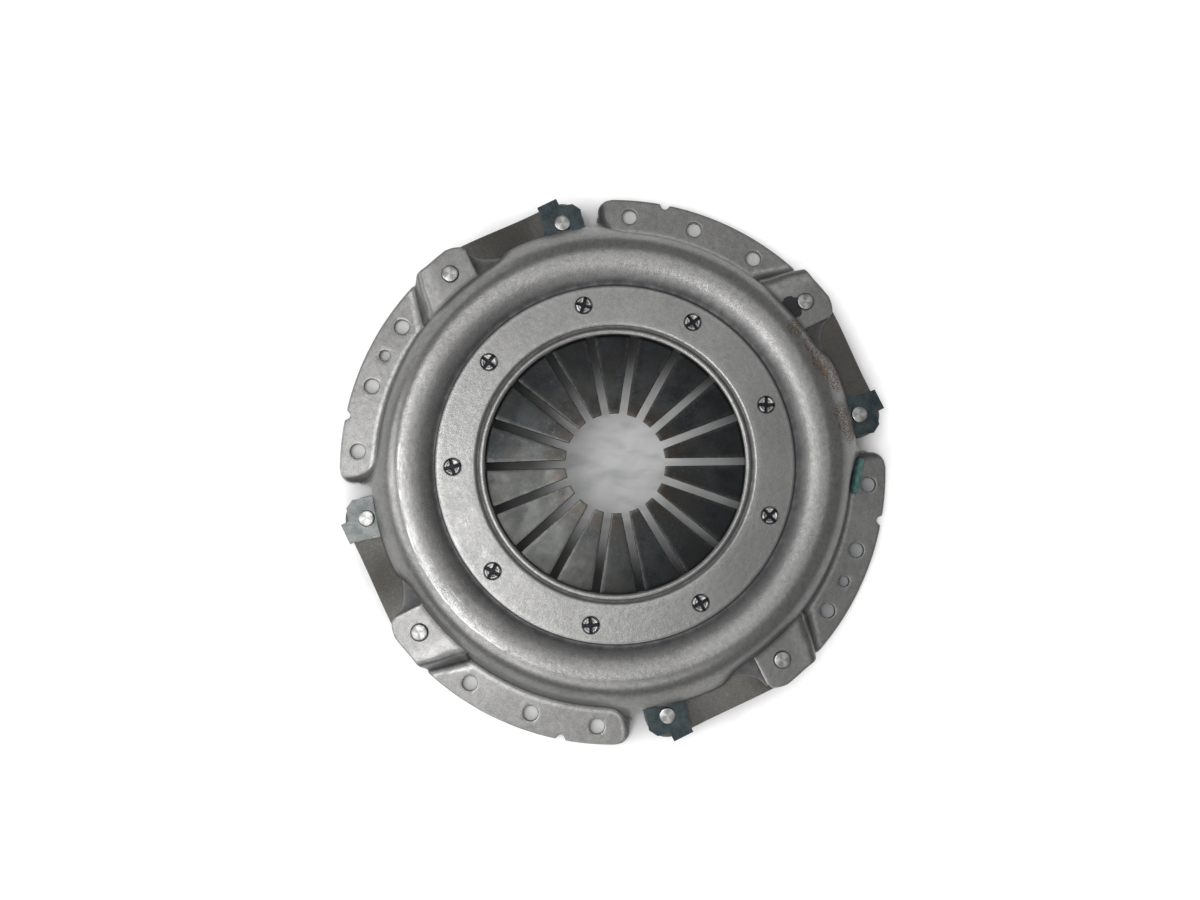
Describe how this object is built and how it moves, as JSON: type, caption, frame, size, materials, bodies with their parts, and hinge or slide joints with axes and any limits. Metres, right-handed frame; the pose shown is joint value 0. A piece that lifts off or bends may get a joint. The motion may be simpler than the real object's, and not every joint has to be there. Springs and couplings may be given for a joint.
{
  "type": "clutch cover assembly",
  "caption": "Diaphragm-spring clutch cover: pressed steel cover with flange, slotted cone spring, cast pressure plate on drive straps, and retracting clips.",
  "frame": {"origin": "centre of the bolt circle on the underside of the flange, where it meets the flywheel", "axes": "+Z along the clutch axis from the flywheel to the release bearing; +X through the middle bolt hole of one flange segment"},
  "size_m": [0.316, 0.316, 0.046],
  "materials": {
    "pressed_steel": "bare pressed steel, satin, with drawing scratches and a few rust specks",
    "cast_plate": "cast iron, dull, with a ground friction face",
    "spring_steel": "dark tempered spring steel, shot peened",
    "ring_wire": "hardened wire, oiled",
    "fulcrum_rivet": "oiled steel with a crimped head",
    "strap_rivet": "bright headed steel",
    "clip_steel": "blued spring steel",
    "strap_steel": "rolled spring steel, slightly brown"
  },
  "bodies": {
    "cover": {"cover": "pressed_steel", "diaphragm_spring": "spring_steel", "fulcrum_ring_upper": "ring_wire", "fulcrum_ring_lower": "ring_wire", "fulcrum_rivet_1": "fulcrum_rivet", "fulcrum_rivet_2": "fulcrum_rivet", "fulcrum_rivet_3": "fulcrum_rivet", "fulcrum_rivet_4": "fulcrum_rivet", "fulcrum_rivet_5": "fulcrum_rivet", "fulcrum_rivet_6": "fulcrum_rivet", "fulcrum_rivet_7": "fulcrum_rivet", "fulcrum_rivet_8": "fulcrum_rivet", "fulcrum_rivet_9": "fulcrum_rivet", "cover_strap_rivet_1": "strap_rivet", "cover_strap_rivet_2": "strap_rivet", "cover_strap_rivet_3": "strap_rivet", "cover_strap_rivet_4": "strap_rivet", "drive_strap_1_lower": "strap_steel", "drive_strap_1_middle": "strap_steel", "drive_strap_1_upper": "strap_steel", "drive_strap_2_lower": "strap_steel", "drive_strap_2_middle": "strap_steel", "drive_strap_2_upper": "strap_steel", "drive_strap_3_lower": "strap_steel", "drive_strap_3_middle": "strap_steel", "drive_strap_3_upper": "strap_steel", "drive_strap_4_lower": "strap_steel", "drive_strap_4_middle": "strap_steel", "drive_strap_4_upper": "strap_steel"},
    "pressure_plate": {"pressure_plate": "cast_plate", "lug_rivet_1": "strap_rivet", "lug_rivet_2": "strap_rivet", "lug_rivet_3": "strap_rivet", "lug_rivet_4": "strap_rivet", "retracting_clip_1": "clip_steel", "retracting_clip_2": "clip_steel", "retracting_clip_3": "clip_steel", "retracting_clip_4": "clip_steel"}
  },
  "joints": [
    {"name": "plate_slide", "type": "slide", "parent": "cover", "child": "pressure_plate", "axis": [0, 0, 1], "range_m": [0, 0.0048], "stiffness_N_per_m": 100000, "deforming": ["diaphragm_spring", "drive_strap_1_lower", "drive_strap_1_middle", "drive_strap_1_upper", "drive_strap_2_lower", "drive_strap_2_middle", "drive_strap_2_upper", "drive_strap_3_lower", "drive_strap_3_middle", "drive_strap_3_upper", "drive_strap_4_lower", "drive_strap_4_middle", "drive_strap_4_upper"]}
  ]
}
